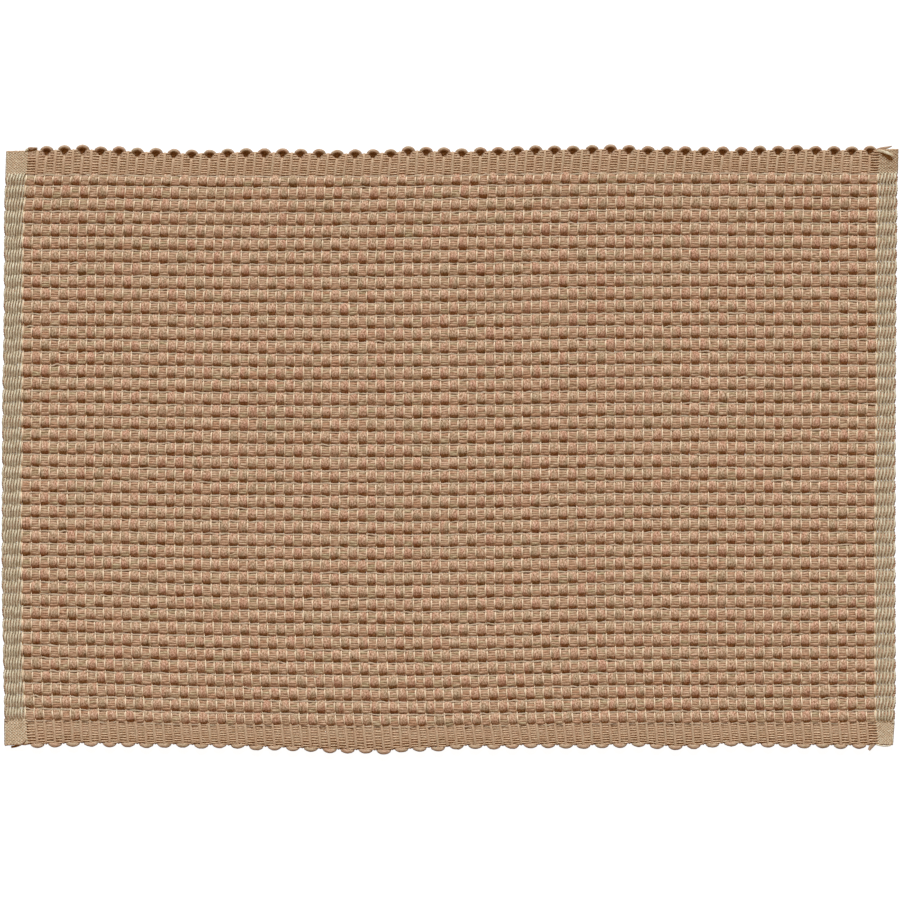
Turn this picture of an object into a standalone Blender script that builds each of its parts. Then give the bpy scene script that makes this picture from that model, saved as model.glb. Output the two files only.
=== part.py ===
"""A ribbed cotton place mat, woven in one piece and lying flat with its worn face up.

Thick soft yarn runs across the mat's depth (Y) in one continuous back-and-forth
length, and turns at the two long edges in a row of small loops. Bundles of fine
warps cross it along the mat's width (X) and draw it down into ribs. The two long
edges are flat selvedges between the ribs and the loops. The ribs run out to the
two short ends, where each makes a shallow scallop in the edge.

The mat is one closed solid. Its ribs stand on both faces: rounded on the worn face,
and flat lands between shallow grooves on the underside, which is what it rests on.
Metres, +Z up, origin under the middle of the mat.
"""

from collections import namedtuple

import bmesh
import bpy

MM = 0.001

# Ribs: the bundles of warps, counted from the far edge (+Y) to the near one (-Y).
RIB_COUNT = 43
MIDDLE_LINE = 22
CREST_HEIGHT = 4.0 * MM
SHOULDER_HEIGHT = 3.7 * MM
VALLEY_HEIGHT = 2.7 * MM
GROOVE_HEIGHT = 0.8 * MM
SCALLOP_DEPTH = 0.9 * MM
FIRST_RIB_START = 0.2     # of a rib's width: the first rib is narrower than the rest

# Selvedges: the flat strips along the two long edges.
SELVEDGE_HEIGHT = 3.0 * MM
LIP_INSET = 0.7 * MM
LIP_HEIGHT = 1.6 * MM
SIDE_INSET = 0.9 * MM

# Edge loops: each turn of the thick yarn joins two of its 93 neighbouring runs.
RUN_PITCH = 4.953 * MM
FIRST_RUN_SIDE = -229.1 * MM
LOOP_COUNT = 46
LOOP_PITCH = 2 * RUN_PITCH
LOOP_DEPTH = 2.2 * MM
CORNER_DROP = 1.2 * MM

COTTON_COLOUR = (0.381, 0.231, 0.136, 1.0)
COTTON_ROUGHNESS = 0.9

# How the woven lines wander over the mat, in millimetres: the far side of the first
# rib, the line between ribs at the middle, and the near side of the last rib.
RibLines = namedtuple("RibLines", "x first middle last")
RIB_LINES = (
    RibLines(-242, 150.7, -1.5, -146.1),
    RibLines(-190, 150.8, -2.0, -147.0),
    RibLines(-129, 150.0, -3.0, -148.6),
    RibLines(-68, 150.0, -3.5, -149.4),
    RibLines(-23, 150.5, -3.6, -149.8),
    RibLines(38, 151.3, -2.9, -148.9),
    RibLines(84, 151.9, -2.2, -147.9),
    RibLines(144, 151.7, -1.9, -147.8),
    RibLines(205, 151.5, -2.3, -147.7),
    RibLines(242, 151.3, -2.6, -147.4),
)

# Where the loops' tips reach along each long edge, and how far the loops there have
# slipped sideways from even spacing, in millimetres.
EdgeTips = namedtuple("EdgeTips", "x y slip")
FAR_TIPS = (
    EdgeTips(-243, 163.3, 0.4),
    EdgeTips(-218, 164.5, 0.4),
    EdgeTips(-200, 165.0, -0.3),
    EdgeTips(-160, 163.2, -0.2),
    EdgeTips(-140, 162.5, -0.4),
    EdgeTips(-111, 163.5, -0.7),
    EdgeTips(-52, 162.5, -0.9),
    EdgeTips(-32, 163.1, -1.5),
    EdgeTips(-22, 164.3, -1.9),
    EdgeTips(6, 163.4, -2.7),
    EdgeTips(26, 164.3, -2.6),
    EdgeTips(86, 165.1, -1.4),
    EdgeTips(117, 164.5, -0.5),
    EdgeTips(158, 163.9, 0.2),
    EdgeTips(188, 165.1, 0.6),
    EdgeTips(207, 164.3, 0.8),
    EdgeTips(243, 164.9, 0.6),
)
NEAR_TIPS = (
    EdgeTips(-243, -162.0, 0.3),
    EdgeTips(-214, -161.6, 0.0),
    EdgeTips(-204, -161.0, -0.3),
    EdgeTips(-144, -161.8, 0.0),
    EdgeTips(-115, -162.4, 0.0),
    EdgeTips(-65, -164.4, 0.3),
    EdgeTips(-36, -165.1, -0.1),
    EdgeTips(-26, -164.3, -0.6),
    EdgeTips(13, -162.2, -0.1),
    EdgeTips(24, -162.8, 0.1),
    EdgeTips(44, -161.9, 0.2),
    EdgeTips(72, -162.3, -0.7),
    EdgeTips(102, -161.2, -0.7),
    EdgeTips(122, -162.9, -0.5),
    EdgeTips(151, -161.1, -0.2),
    EdgeTips(212, -162.3, 0.0),
    EdgeTips(243, -161.5, 0.4),
)

# Where the two short ends lie, in millimetres, at lines counted from the far side
# of the first rib. The first and last rows are the ends of the selvedges.
EndEdges = namedtuple("EndEdges", "line left right")
END_EDGES = (
    EndEdges(-1.6, -240.5, 243.2),
    EndEdges(2, -241.8, 243.0),
    EndEdges(11, -242.0, 242.4),
    EndEdges(19, -242.9, 242.1),
    EndEdges(32, -243.2, 241.9),
    EndEdges(42, -241.8, 241.5),
    EndEdges(45, -241.6, 241.0),
)

# One rib's section: how far across it each row of points lies, its height on the worn
# face and on the underside, and how far the scalloped ends are drawn in there.
RibRow = namedtuple("RibRow", "across top bottom drawn_in")
RIB_ROWS = (
    RibRow(0.0, VALLEY_HEIGHT, GROOVE_HEIGHT, SCALLOP_DEPTH),
    RibRow(0.22, SHOULDER_HEIGHT, 0.0, 0.2 * MM),
    RibRow(0.5, CREST_HEIGHT, 0.0, 0.0),
    RibRow(0.78, SHOULDER_HEIGHT, 0.0, 0.2 * MM),
)
SELVEDGE_ROW = RibRow(0.0, SELVEDGE_HEIGHT, 0.0, 0.0)

# One loop's outline: places along its pitch, from its middle, and how far each lies
# behind the tip, as a share of the loop's depth.
LoopPoint = namedtuple("LoopPoint", "along behind")
LOOP_POINTS = (
    LoopPoint(-0.5, 1.0),
    LoopPoint(-0.3, 0.25),
    LoopPoint(0.0, 0.0),
    LoopPoint(0.3, 0.25),
)


def clear_scene():
    for old in list(bpy.data.objects):
        bpy.data.objects.remove(old, do_unlink=True)


def read_table(rows, key, column, place):
    """The column's value at a place along the key column, in straight runs between rows."""
    place = min(max(place, getattr(rows[0], key)), getattr(rows[-1], key))
    for low, high in zip(rows, rows[1:]):
        if place <= getattr(high, key):
            break
    start, end = getattr(low, key), getattr(high, key)
    share = (place - start) / (end - start)
    return getattr(low, column) * (1 - share) + getattr(high, column) * share


def line_y(lines, line):
    """How far up the mat a woven line lies at one station of the RIB_LINES table."""
    if line < 1:
        line = FIRST_RIB_START + (1 - FIRST_RIB_START) * line
    if line <= MIDDLE_LINE:
        share = line / MIDDLE_LINE
        return (lines.first * (1 - share) + lines.middle * share) * MM
    share = (line - MIDDLE_LINE) / (RIB_COUNT - MIDDLE_LINE)
    return (lines.middle * (1 - share) + lines.last * share) * MM


def body_ring(mesh, line, row):
    """The points round the mat's section along one row: over the top, and back beneath."""
    left = read_table(END_EDGES, "line", "left", line) * MM + row.drawn_in
    right = read_table(END_EDGES, "line", "right", line) * MM - row.drawn_in
    places = [(lines.x * MM, line_y(lines, line)) for lines in RIB_LINES]
    places[0] = (left + SIDE_INSET, places[0][1])
    places[-1] = (right - SIDE_INSET, places[-1][1])
    middle = (row.top + row.bottom) / 2
    top = [mesh.verts.new((x, y, row.top)) for x, y in places]
    bottom = [mesh.verts.new((x, y, row.bottom)) for x, y in places]
    left_point = mesh.verts.new((left, places[0][1], middle))
    right_point = mesh.verts.new((right, places[-1][1], middle))
    return top + [right_point] + bottom[::-1] + [left_point]


def rib_rings(mesh):
    """Every row's ring, from the far side of the first rib to the near side of the last."""
    rows = [(rib + row.across, row) for rib in range(RIB_COUNT) for row in RIB_ROWS]
    rows[0] = (0, SELVEDGE_ROW)
    rows.append((RIB_COUNT, SELVEDGE_ROW))
    return [body_ring(mesh, line, row) for line, row in rows]


def edge_outline(tips, first_loop, end_line, outward):
    """The outline of one long edge, left to right: a plain corner, the loops, a plain corner."""
    left = read_table(END_EDGES, "line", "left", end_line) * MM
    right = read_table(END_EDGES, "line", "right", end_line) * MM

    def reach(x, behind):
        return read_table(tips, "x", "y", x / MM) * MM - outward * behind

    points = [(left, reach(left, CORNER_DROP))]
    for loop in range(LOOP_COUNT):
        middle = FIRST_RUN_SIDE + first_loop * RUN_PITCH + loop * LOOP_PITCH
        middle += read_table(tips, "x", "slip", middle / MM) * MM
        for point in LOOP_POINTS:
            x = middle + point.along * LOOP_PITCH
            points.append((x, reach(x, point.behind * LOOP_DEPTH)))
    after_last = middle + LOOP_PITCH / 2
    points.append((after_last, reach(after_last, LOOP_DEPTH)))
    points.append((right, reach(right, CORNER_DROP)))
    return points


def add_selvedge(mesh, ring, outline, outward):
    """A flat strip from the ribs' outermost ring to the looped edge, with a rounded lip."""
    stations = len(RIB_LINES)
    ring_top = ring[:stations]
    ring_right = ring[stations]
    ring_bottom = ring[stations + 1:-1][::-1]
    ring_left = ring[-1]

    def lip(inset, height):
        inner = outline[0][0] + inset, outline[-1][0] - inset
        return [
            mesh.verts.new((min(max(x, inner[0]), inner[1]), y - outward * inset, height))
            for x, y in outline
        ]

    top = lip(LIP_INSET, SELVEDGE_HEIGHT)
    rim = lip(0.0, LIP_HEIGHT)
    bottom = lip(LIP_INSET, 0.0)

    # Each stretch between two stations is one flat face that takes in its share of the loops.
    shares = [0]
    for lines in RIB_LINES[1:-1]:
        nearest = min(range(len(top)), key=lambda i: abs(top[i].co.x - lines.x * MM))
        shares.append(nearest)
    shares.append(len(top) - 1)
    for sheet, edge in ((ring_top, top), (ring_bottom, bottom)):
        for i, (start, end) in enumerate(zip(shares, shares[1:])):
            mesh.faces.new([sheet[i + 1], sheet[i]] + edge[start:end + 1])

    for upper, lower in ((top, rim), (rim, bottom)):
        for i in range(len(outline) - 1):
            mesh.faces.new((upper[i], lower[i], lower[i + 1], upper[i + 1]))
    for side, inner, outer in ((0, ring_left, rim[0]), (-1, ring_right, rim[-1])):
        mesh.faces.new((ring_top[side], inner, outer, top[side]))
        mesh.faces.new((inner, ring_bottom[side], bottom[side], outer))


def centre_on_origin(mesh):
    """Moves the mat so that the middle of its outline lies over the origin."""
    for axis in (0, 1):
        places = [vert.co[axis] for vert in mesh.verts]
        middle = (min(places) + max(places)) / 2
        for vert in mesh.verts:
            vert.co[axis] -= middle


def cotton():
    material = bpy.data.materials.new("tan_cotton")
    material.use_nodes = True
    shader = material.node_tree.nodes["Principled BSDF"]
    shader.inputs["Base Color"].default_value = COTTON_COLOUR
    shader.inputs["Roughness"].default_value = COTTON_ROUGHNESS
    shader.inputs["Metallic"].default_value = 0.0
    return material


def build_placemat():
    mesh = bmesh.new()
    rings = rib_rings(mesh)
    for ring, following in zip(rings, rings[1:]):
        for i in range(len(ring)):
            j = (i + 1) % len(ring)
            mesh.faces.new((ring[i], ring[j], following[j], following[i]))
    far = edge_outline(FAR_TIPS, 2, END_EDGES[0].line, 1)
    near = edge_outline(NEAR_TIPS, 1, END_EDGES[-1].line, -1)
    add_selvedge(mesh, rings[0], far, 1)
    add_selvedge(mesh, rings[-1], near, -1)
    centre_on_origin(mesh)
    bmesh.ops.recalc_face_normals(mesh, faces=mesh.faces)

    data = bpy.data.meshes.new("placemat")
    mesh.to_mesh(data)
    mesh.free()
    data.materials.append(cotton())
    data.shade_smooth()
    data.set_sharp_from_angle(angle=0.9)
    placemat = bpy.data.objects.new("placemat", data)
    bpy.context.scene.collection.objects.link(placemat)


clear_scene()
build_placemat()
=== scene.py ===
from collections import namedtuple

import bpy
import numpy as np
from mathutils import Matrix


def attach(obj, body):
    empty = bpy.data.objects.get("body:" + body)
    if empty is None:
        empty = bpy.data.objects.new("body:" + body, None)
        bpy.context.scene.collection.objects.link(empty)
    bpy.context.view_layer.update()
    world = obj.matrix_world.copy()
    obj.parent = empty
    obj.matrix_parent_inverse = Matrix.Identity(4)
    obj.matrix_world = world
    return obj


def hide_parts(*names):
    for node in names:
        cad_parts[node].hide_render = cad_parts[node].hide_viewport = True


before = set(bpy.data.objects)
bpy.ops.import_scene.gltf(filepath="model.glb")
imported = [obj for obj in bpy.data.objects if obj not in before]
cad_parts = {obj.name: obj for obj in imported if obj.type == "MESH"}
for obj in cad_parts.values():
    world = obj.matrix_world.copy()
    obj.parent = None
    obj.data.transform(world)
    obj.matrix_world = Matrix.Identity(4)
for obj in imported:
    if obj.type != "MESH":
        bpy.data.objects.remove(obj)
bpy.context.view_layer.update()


# ---------------------------------------------------------------- warps of the ribs
# Fine two-ply cotton, stretched on the loom before anything is woven. Four warps lie
# side by side in each of the mat's 43 ribs. They pass together over and under the
# thick yarn, and at both short ends they fold under into the hem.

MM = 0.001
RIB_COUNT = 43
MIDDLE_LINE = 22
FIRST_RIB_START = 0.2   # of a rib's width: the first rib is narrower than the rest
SELVEDGE_LINES = 1.6    # how wide both selvedges are, counted in ribs
RUN_COUNT = 93
RUN_PITCH = 4.953
FIRST_RUN_SIDE = -229.1

# How the woven lines wander over the mat, in millimetres: the far side of the first
# rib, the line between ribs at the middle, and the near side of the last rib.
RibLines = namedtuple("RibLines", "x first middle last")
RIB_LINES = (
    RibLines(-242, 150.7, -1.5, -146.1),
    RibLines(-190, 150.8, -2.0, -147.0),
    RibLines(-129, 150.0, -3.0, -148.6),
    RibLines(-68, 150.0, -3.5, -149.4),
    RibLines(-23, 150.5, -3.6, -149.8),
    RibLines(38, 151.3, -2.9, -148.9),
    RibLines(84, 151.9, -2.2, -147.9),
    RibLines(144, 151.7, -1.9, -147.8),
    RibLines(205, 151.5, -2.3, -147.7),
    RibLines(242, 151.3, -2.6, -147.4),
)

# Where the two short ends lie, in millimetres, at lines counted from the first rib.
EndEdges = namedtuple("EndEdges", "line left right")
END_EDGES = (
    EndEdges(-1.6, -240.5, 243.2),
    EndEdges(2, -241.8, 243.0),
    EndEdges(11, -242.0, 242.4),
    EndEdges(19, -242.9, 242.1),
    EndEdges(32, -243.2, 241.9),
    EndEdges(42, -241.8, 242.2),
    EndEdges(45, -241.6, 240.0),
)

# Where the tips of the edge loops reach, and how far the runs have slipped sideways
# there from even spacing, in millimetres.
EdgeTips = namedtuple("EdgeTips", "x y slip")
FAR_TIPS = (
    EdgeTips(-243, 163.8, 0.7),
    EdgeTips(-218, 164.5, 0.7),
    EdgeTips(-200, 165.0, 0.3),
    EdgeTips(-160, 163.2, 0.4),
    EdgeTips(-140, 162.5, 0.2),
    EdgeTips(-111, 163.5, -0.1),
    EdgeTips(-52, 162.5, -0.3),
    EdgeTips(-32, 163.1, -0.9),
    EdgeTips(-22, 164.3, -1.3),
    EdgeTips(6, 163.4, -2.1),
    EdgeTips(26, 164.3, -2.0),
    EdgeTips(86, 165.1, -0.8),
    EdgeTips(117, 164.5, 0.1),
    EdgeTips(158, 163.9, 0.8),
    EdgeTips(188, 165.1, 1.2),
    EdgeTips(207, 164.3, 1.4),
    EdgeTips(243, 164.9, 1.2),
)
NEAR_TIPS = (
    EdgeTips(-243, -162.5, 0.6),
    EdgeTips(-214, -161.6, 0.3),
    EdgeTips(-204, -161.0, 0.0),
    EdgeTips(-144, -161.8, 0.3),
    EdgeTips(-115, -162.4, 0.3),
    EdgeTips(-65, -164.4, 0.6),
    EdgeTips(-36, -165.1, 0.2),
    EdgeTips(-26, -164.3, -0.3),
    EdgeTips(13, -162.2, 0.2),
    EdgeTips(24, -162.8, 0.4),
    EdgeTips(44, -161.9, 0.5),
    EdgeTips(72, -162.3, -0.4),
    EdgeTips(102, -161.2, -0.4),
    EdgeTips(122, -162.9, -0.2),
    EdgeTips(151, -161.1, 0.1),
    EdgeTips(212, -162.3, 0.3),
    EdgeTips(243, -162.1, 0.7),
)

# How far the runs of thick yarn have slipped sideways inside the mat, in millimetres,
# along six lines down it that lie at SLIP_PLACES.
RunSlips = namedtuple("RunSlips", "line far_left left mid_left mid_right right far_right")
SLIP_PLACES = (-222, -125, -27, 60, 136, 225)
RUN_SLIPS = (
    RunSlips(0.5, -0.4, -1.2, -2.3, -3.0, -0.9, 0.4),
    RunSlips(3.5, -1.9, -2.2, -3.3, -3.6, -1.8, 0.0),
    RunSlips(6.5, -2.2, -2.9, -4.2, -4.2, -2.1, -0.6),
    RunSlips(12.5, -2.2, -3.3, -4.2, -4.1, -1.8, -0.4),
    RunSlips(18.5, -2.4, -4.0, -3.8, -4.0, -1.9, -0.4),
    RunSlips(24.5, -2.9, -4.5, -4.0, -4.5, -2.4, -1.2),
    RunSlips(30.5, -2.8, -4.7, -4.0, -4.4, -2.4, -1.2),
    RunSlips(36.5, -2.5, -3.1, -3.6, -3.7, -2.7, -1.2),
    RunSlips(39.5, -2.1, -2.0, -2.6, -2.8, -2.2, -1.2),
    RunSlips(42.5, -0.9, -0.9, -1.5, -1.7, -1.4, -1.0),
)
SLIP_BORDER = 0.5       # how far inside the ribs the slips of the loops begin to tell

# How far to each side the corners of these tables' lines are rounded off.
SLIP_EASING = (-1.4, -0.7, 0, 0.7, 1.4)    # in ribs, for places down the mat
SLIP_EASING_ALONG = 10  # millimetres along the mat for each rib of that easing
TIP_EASING = 2.0
LINE_EASING = 15.0
END_EASING = 1.5        # in ribs
EASING_STEPS = 7

# Each run also wanders a little by chance from one line to the next, and each line
# between ribs from one step along the mat to the next.
RUN_WANDER = 0.09
LINE_WANDER = 0.07
WANDER_FIRST_LINE = -1.2
WANDER_START = -246
WANDER_STEP = 6.2
WANDER_STEPS = 82

WEAVE_HEIGHT = 2.0      # of the weave's middle over the floor
WARPS_ACROSS = (0.385, 0.565, 0.74, 0.915)
WARP_LIFTS = (0.9, 1.12, 1.18, 1.0)
WARP_BAND_DIPS = (0.15, 0.0, 0.1, 0.5)     # under the end bands' upper layer
WARP_PLACES = (0.28, 0.72)                 # within each run of thick yarn
WARP_HALF_WIDTH = 0.9
WARP_HALF_HEIGHT = 0.52
LOWEST_WARP = 0.68      # the least that a warp's middle is over the floor

# By chance a yarn strays up or down, strays aside, and is spun thicker and thinner.
WARP_HEIGHT_SPREAD = 0.13
WARP_ASIDE_SPREAD = 0.12
WARP_SLUB = 0.08

# The tone changes along a rib's four warps together, each a little after the last.
RIB_NUMBER_STEP = 5
WARP_NUMBER_STEP = 0.06 # for each whole rib's width across

BAND_WIDTH = 12         # of the end bands, about
BAND_RISE = 0.75        # of the hemmed end bands' upper layer over the weave's middle
BAND_SLOPE = 3.2        # how far into the band that rise takes
BAND_SHARES = np.array((0.06, 0.16, 0.4, 0.75))    # a warp's stations out across a band
HEM_SHARES = np.array((0.78, 0.3))                 # and back under it
HEM_FOLD_RADIUS = 0.9
HEM_MIDDLE = 1.85
FOLD_ANGLES = np.radians((90, 45, 0, -45, -90))
SCALLOP_DEPTH = 1.0
SCALLOP_POWER = 0.6     # below 1, so that the notches between the scallops are narrow

chance = np.random.default_rng(93)


def eased(rows, key, column, place, reach):
    """A table's column at many places, with the corners between its rows rounded off."""
    keys = [getattr(row, key) for row in rows]
    values = [getattr(row, column) for row in rows]
    steps = np.linspace(-reach, reach, EASING_STEPS)
    return sum(np.interp(place + step, keys, values) for step in steps) / EASING_STEPS


def on_grid(grid, row, column):
    """The grid's value at fractional rows and columns, in straight runs between them."""
    row = np.clip(row, 0, grid.shape[0] - 1.001)
    column = np.clip(column, 0, grid.shape[1] - 1.001)
    up, left = row.astype(int), column.astype(int)
    down_share, right_share = row - up, column - left
    above = grid[up, left] * (1 - right_share) + grid[up, left + 1] * right_share
    below = grid[up + 1, left] * (1 - right_share) + grid[up + 1, left + 1] * right_share
    return above * (1 - down_share) + below * down_share


slip_grid = np.array([row[1:] for row in RUN_SLIPS])
slip_lines = [row.line for row in RUN_SLIPS]
run_wander = chance.normal(0, RUN_WANDER, (RIB_COUNT + 3, RUN_COUNT + 3))
line_wander = chance.normal(0, LINE_WANDER, (RIB_COUNT + 3, WANDER_STEPS))


def run_x(run, line):
    """Where a place counted in runs from the left lies, at a line counted in ribs."""
    run, line = np.broadcast_arrays(np.asarray(run, float), np.asarray(line, float))
    even = FIRST_RUN_SIDE + run * RUN_PITCH
    inside = 0
    for step in SLIP_EASING:
        row = np.interp(line + step, slip_lines, range(len(slip_lines)))
        column = np.interp(even + step * SLIP_EASING_ALONG, SLIP_PLACES, range(len(SLIP_PLACES)))
        inside = inside + on_grid(slip_grid, row, column) / len(SLIP_EASING)
    edge_reach = SLIP_BORDER + SELVEDGE_LINES
    far_share = np.clip((SLIP_BORDER - line) / edge_reach, 0, 1)
    near_share = np.clip((line - (RIB_COUNT - SLIP_BORDER)) / edge_reach, 0, 1)
    far, near = (eased(tips, "x", "slip", even, TIP_EASING) for tips in (FAR_TIPS, NEAR_TIPS))
    slip = inside * (1 - far_share - near_share) + far * far_share + near * near_share
    return even + slip + on_grid(run_wander, line - WANDER_FIRST_LINE, run + 1)


def line_y(x, line):
    """How far up the mat a line between ribs lies at x. Lines are counted from the first rib."""
    x, line = np.broadcast_arrays(np.asarray(x, float), np.asarray(line, float))
    line = np.where(line < 1, FIRST_RIB_START + line - FIRST_RIB_START * np.clip(line, 0, 1), line)
    first, middle, last = (
        eased(RIB_LINES, "x", column, x, LINE_EASING) for column in ("first", "middle", "last")
    )
    far_half = first + (middle - first) * line / MIDDLE_LINE
    near_half = middle + (last - middle) * (line - MIDDLE_LINE) / (RIB_COUNT - MIDDLE_LINE)
    wander = on_grid(line_wander, line + 1, (x - WANDER_START) / WANDER_STEP)
    return np.where(line <= MIDDLE_LINE, far_half, near_half) + wander


def rim_x(side, line):
    """The outer edge of a short end: a shallow scallop at each rib, straight at the corners."""
    outward = -1 if side == "left" else 1
    within = np.clip(line, 0, RIB_COUNT)
    notch = np.where(within == line, 1 - np.sin(np.pi * (within % 1)) ** SCALLOP_POWER, 0)
    return eased(END_EDGES, "line", side, line, END_EASING) - outward * SCALLOP_DEPTH * notch


def band_x(side, share, line):
    """A place in an end band, from 0 at its inner border to 1 at its outer edge."""
    inner = run_x(0 if side == "left" else RUN_COUNT, line)
    return inner + (rim_x(side, line) - inner) * share


def band_height(share):
    """The middle height of an end band's upper layer, which rises off the single cloth."""
    climb = np.clip(share * BAND_WIDTH / BAND_SLOPE, 0, 1)
    return WEAVE_HEIGHT + BAND_RISE * climb ** 2 * (3 - 2 * climb)


def round_fold(side, line, inset, radius, middle):
    """The route round the hem's fold, from the upper layer to the lower one: x and z."""
    outward = -1 if side == "left" else 1
    x = rim_x(side, line) - outward * (inset + radius * (1 - np.cos(FOLD_ANGLES)))
    return x, np.broadcast_to(middle + radius * np.sin(FOLD_ANGLES), x.shape)


def end_to_end(across_the_runs, outwards):
    """Whole routes from the left hem to the right one, of stretches that hold x and z.

    For each side, outwards holds the stretches that follow the runs: the band's upper
    layer, the fold and the layer under it.
    """
    from_left = [(x[:, ::-1], z[:, ::-1]) for x, z in outwards["left"][::-1]]
    stretches = from_left + [across_the_runs] + outwards["right"]
    return [np.concatenate(axis, axis=1) for axis in zip(*stretches)]


def hemmed(line, x, z, dip, half_height):
    """A warp's stations in the runs, carried on at both ends round the hem: x, y and z."""
    outwards = {}
    for side in ("left", "right"):
        upper = band_x(side, BAND_SHARES, line), band_height(BAND_SHARES) - dip + np.zeros_like(line)
        fold = round_fold(side, line, half_height, HEM_FOLD_RADIUS, HEM_MIDDLE)
        low = np.full((len(line), len(HEM_SHARES)), HEM_MIDDLE - HEM_FOLD_RADIUS)
        outwards[side] = [upper, fold, (band_x(side, HEM_SHARES, line), low)]
    x, z = end_to_end((x, z), outwards)
    return np.stack([x, line_y(x, line), z], axis=-1)


# Like yarns: the stations along their routes, the half width and half height of their
# sections there, and a number for each yarn, which sets where its fibres' pattern starts.
Yarns = namedtuple("Yarns", "centres half_width half_height number")
OVAL_POWER = 0.75       # below 1, so that the sections are fuller than ellipses
FIBRE_SHIFT = 613.0     # from one number's pattern of fibres to the next one's
FUZZ_LEAN = 0.5         # how much of their lean to the sides fuzzy normals keep


def soft_normals(yarns, angles, across, over, level, upward, fuzz):
    """The normals at the four corners of each quad: a smooth bar's, which fuzz turns upwards."""
    half_width = np.broadcast_to(yarns.half_width, across.shape[:2])[..., None]
    half_height = np.broadcast_to(yarns.half_height, across.shape[:2])[..., None]
    flat_across = np.roll(over, -1, axis=2) - over
    flat_over = across - np.roll(across, -1, axis=2)
    flat_size = np.hypot(flat_across, flat_over)
    corners = []
    for corner in (angles, np.roll(angles, -1)):
        round_across = np.cos(corner) / half_width
        round_over = np.sin(corner) / half_height
        round_size = np.hypot(round_across, round_over)
        sideways = (1 - fuzz) * round_across / round_size + FUZZ_LEAN * fuzz * flat_across / flat_size
        outward = (1 - fuzz) * round_over / round_size + fuzz * flat_over / flat_size
        corners.append(sideways[..., None] * level[:, :, None] + outward[..., None] * upward[:, :, None])
    this_side, next_side = corners
    turned = [this_side[:, :-1], this_side[:, 1:], next_side[:, 1:], next_side[:, :-1]]
    normals = np.stack(turned, axis=3).reshape(-1, 3)
    return normals / np.linalg.norm(normals, axis=1, keepdims=True)


def yarn_piece(name, groups, material, sides, fuzz, lengthwise=False):
    """Yarns of oval section round their routes, in millimetres, joined in one mesh.

    The broad side of each section lies level, or along Y on the lengthwise warps, which
    turn down at the hem. From 0 to 1, fuzz turns the normals from a smooth bar's towards
    straight up, as loose fibres soften the light's fall across a yarn. The mesh's "spun"
    attribute holds the place along each yarn and within its section.
    """
    angles = 2 * np.pi * np.arange(sides) / sides
    circle = np.cos(angles), np.sin(angles)
    broad, tall = (np.sign(part) * np.abs(part) ** OVAL_POWER for part in circle)
    points, spun, faces, ends, normals = [], [], [], [], []
    count = 0
    for yarns in groups:
        centres = np.asarray(yarns.centres, float)
        tubes, rings = centres.shape[:2]
        ahead = np.gradient(centres, axis=1)
        ahead /= np.linalg.norm(ahead, axis=2, keepdims=True)
        level = np.cross(ahead, (0, 0, 1.0))
        if lengthwise:
            level[:] = (0, -1.0, 0)
        level /= np.linalg.norm(level, axis=2, keepdims=True)
        upward = np.cross(level, ahead)
        across = np.multiply.outer(np.broadcast_to(yarns.half_width, (tubes, rings)), broad)
        over = np.multiply.outer(np.broadcast_to(yarns.half_height, (tubes, rings)), tall)
        ring = centres[:, :, None] + across[..., None] * level[:, :, None]
        ring += over[..., None] * upward[:, :, None]
        points.append(ring.reshape(-1, 3))
        steps = np.linalg.norm(np.diff(centres, axis=1), axis=2)
        length = np.concatenate([np.zeros((tubes, 1)), np.cumsum(steps, axis=1)], axis=1)
        length += FIBRE_SHIFT * np.asarray(yarns.number, float)[:, None]
        spun.append(np.stack([np.broadcast_to(length[..., None], across.shape), across, over], -1))
        grid = count + np.arange(tubes * rings * sides).reshape(tubes, rings, sides)
        beside = np.roll(grid, -1, axis=2)
        quads = np.stack([grid[:, :-1], grid[:, 1:], beside[:, 1:], beside[:, :-1]], -1)
        faces.append(quads.reshape(-1, 4))
        normals.append(soft_normals(yarns, angles, across, over, level, upward, fuzz))
        ends += [grid[:, 0], grid[:, -1, ::-1]]
        count += tubes * rings * sides

    mesh = bpy.data.meshes.new(name)
    all_faces = np.concatenate(faces).tolist() + np.concatenate(ends).tolist()
    mesh.from_pydata((np.concatenate(points) * MM).tolist(), [], all_faces)
    places = mesh.attributes.new("spun", "FLOAT_VECTOR", "POINT")
    flat = np.concatenate([part.reshape(-1, 3) for part in spun]) * MM
    places.data.foreach_set("vector", flat.astype(np.float32).ravel())
    mesh.shade_smooth()
    # Normals of zero let the end caps keep their own.
    cap_normals = np.zeros((sum(len(end) for end in ends) * sides, 3))
    mesh.normals_split_custom_set(np.concatenate(normals + [cap_normals]).tolist())
    mesh.materials.append(material)
    piece = bpy.data.objects.new(name, mesh)
    bpy.context.scene.collection.objects.link(piece)
    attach(piece, "root")
    return piece


HEATHER_ACROSS = 180    # changes of tone in a metre across the yarn


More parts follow.
